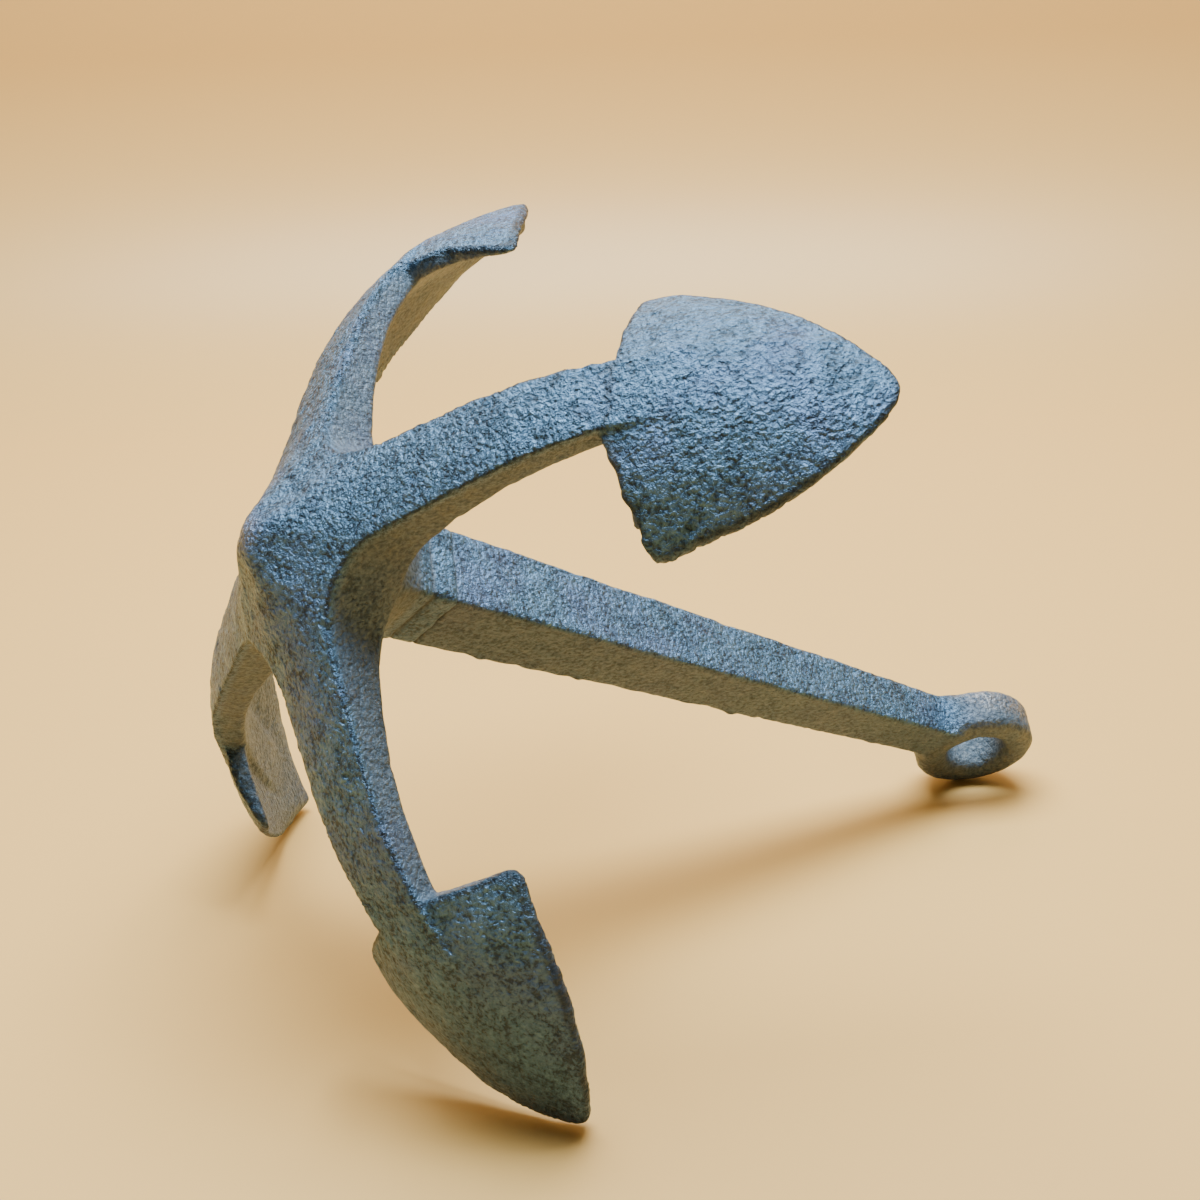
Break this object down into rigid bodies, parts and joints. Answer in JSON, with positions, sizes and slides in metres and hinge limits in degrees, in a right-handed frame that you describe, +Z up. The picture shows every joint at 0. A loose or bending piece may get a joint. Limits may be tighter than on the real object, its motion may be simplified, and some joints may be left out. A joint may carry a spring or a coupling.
{
  "type": "grapnel anchor",
  "caption": "Small cast-iron grapnel anchor with spade-shaped flukes on curved arms and a square tapered shank ending in an eye, lying at rest.",
  "frame": {"origin": "centre of the resting anchor's bounding box, on the surface it lies on", "axes": "+Z up, +X along the shank in plan from the crown to the eye, Y across between the flukes"},
  "size_m": [0.1938, 0.1608, 0.1459],
  "materials": {
    "crown_iron": "rough sand-cast skin under worn blue-grey paint",
    "shank_iron": "rough sand-cast skin under worn blue-grey paint, bare and rubbed at the eye"
  },
  "bodies": {
    "root": {"crown_with_arms": "crown_iron", "shank_with_eye": "shank_iron"}
  },
  "joints": []
}
